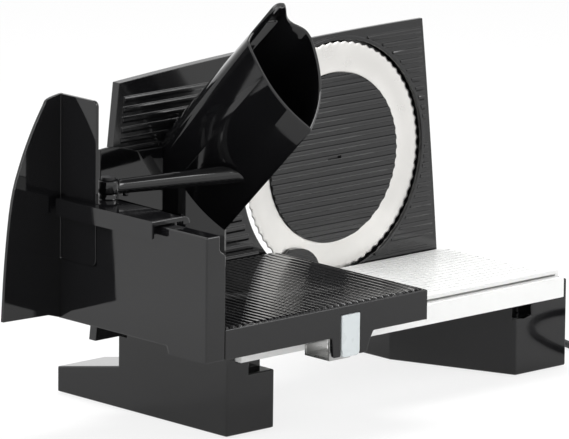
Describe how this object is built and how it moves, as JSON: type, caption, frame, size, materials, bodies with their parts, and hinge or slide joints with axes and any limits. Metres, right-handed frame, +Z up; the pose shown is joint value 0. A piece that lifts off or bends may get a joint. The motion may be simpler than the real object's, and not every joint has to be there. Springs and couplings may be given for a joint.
{
  "type": "food slicer",
  "caption": "Household food slicer with a round toothed blade, adjustable stop plate, sliding carriage with thumb guard and a slanted feed chute, mains cord laid in a coil.",
  "frame": {"origin": "on the table, under the middle of the slicer's box without its cord", "axes": "+X along the blade's plane and the carriage's travel, to the right as the user faces the ribbed plate; +Y from the user towards the motor; +Z up"},
  "size_m": [0.6076, 0.2965, 0.3023],
  "materials": {
    "black_gloss": "high gloss, moulded",
    "black_matte": "fine matt",
    "white_plastic": "satin gloss",
    "pale_plastic": "smooth",
    "grey_plastic": "satin",
    "steel": "finely ground",
    "motor_steel": "zinc plated",
    "brass": "turned",
    "copper": "turned copper",
    "rubber": "fine matt"
  },
  "bodies": {
    "frame": {"base_plate": "white_plastic", "left_foot": "black_gloss", "right_foot": "black_gloss", "foot_pads": "rubber", "foot_screws": "steel", "housing_front": "black_gloss", "housing_rear": "black_gloss", "housing_screws": "steel", "lower_guard": "black_gloss", "blade_axle": "steel", "motor_can": "motor_steel", "motor_bracket": "motor_steel", "motor_bushes": "brass", "switch_body": "black_matte", "terminal_block": "pale_plastic", "strain_relief": "black_matte", "guide_bushes": "pale_plastic", "knob_bearing": "brass", "cord_lead": "rubber", "cord_coil": "rubber", "cord_tail": "rubber", "plug_body": "rubber", "plug_pins": "brass"},
    "blade_group": {"blade": "steel", "blade_gear": "pale_plastic", "hub_bushes": "brass", "blade_screws": "steel", "blade_cover": "black_gloss"},
    "motor_rotor": {"motor_shaft": "steel", "armature": "motor_steel", "commutator": "copper", "cooling_fan": "black_matte"},
    "rocker": {"switch_rocker": "black_gloss"},
    "stop": {"stop_plate": "black_gloss", "stop_carrier": "black_matte", "stop_rods": "steel", "stop_nut": "brass"},
    "knob": {"thickness_knob": "black_gloss", "knob_spindle": "steel"},
    "carriage": {"carriage_tray": "black_gloss", "carriage_wall": "black_gloss", "thumb_guard": "black_gloss", "guide_bracket": "steel", "guide_shoes": "pale_plastic", "glide_pads": "pale_plastic", "wall_screws": "steel"},
    "release": {"release_tab": "grey_plastic"},
    "chute_base": {"clamp_cap": "black_gloss", "hinge_pin": "black_matte"},
    "chute": {"chute_tube": "black_gloss", "chute_panel": "black_gloss"}
  },
  "joints": [
    {"name": "blade_spin", "type": "hinge", "parent": "frame", "child": "blade_group", "pos_m": [0.0815, 0.0653, 0.1549], "axis": [0, 1, 0], "continuous": true},
    {"name": "motor_spin", "type": "hinge", "parent": "frame", "child": "motor_rotor", "pos_m": [0.1253, 0.0758, 0.12], "axis": [0, 0, 1], "continuous": true},
    {"name": "switch_rock", "type": "hinge", "parent": "frame", "child": "rocker", "pos_m": [0.1275, 0.0813, 0.1894], "axis": [1, 0, 0], "range_deg": [-10, 10]},
    {"name": "knob_turn", "type": "hinge", "parent": "frame", "child": "knob", "pos_m": [-0.0695, 0.0753, 0.0625], "axis": [0, 1, 0], "range_deg": [0, 330]},
    {"name": "stop_slide", "type": "slide", "parent": "frame", "child": "stop", "axis": [0, 1, 0], "range_m": [0, 0.02]},
    {"name": "carriage_slide", "type": "slide", "parent": "frame", "child": "carriage", "axis": [1, 0, 0], "range_m": [0, 0.18]},
    {"name": "release_press", "type": "slide", "parent": "carriage", "child": "release", "axis": [0, 1, 0], "range_m": [0, 0.004], "stiffness_N_per_m": 400},
    {"name": "chute_lift", "type": "slide", "parent": "carriage", "child": "chute_base", "axis": [0, 0, 1], "range_m": [0, 0.07]},
    {"name": "chute_swing", "type": "hinge", "parent": "chute_base", "child": "chute", "pos_m": [-0.1645, 0.0103, 0.17], "axis": [0, 0, 1], "range_deg": [-35, 0]}
  ],
  "couplings": [
    {"joint": "motor_spin", "follows": "blade_spin", "ratio": 30},
    {"joint": "stop_slide", "follows": "knob_turn", "m_per_rad": 0.003472}
  ]
}
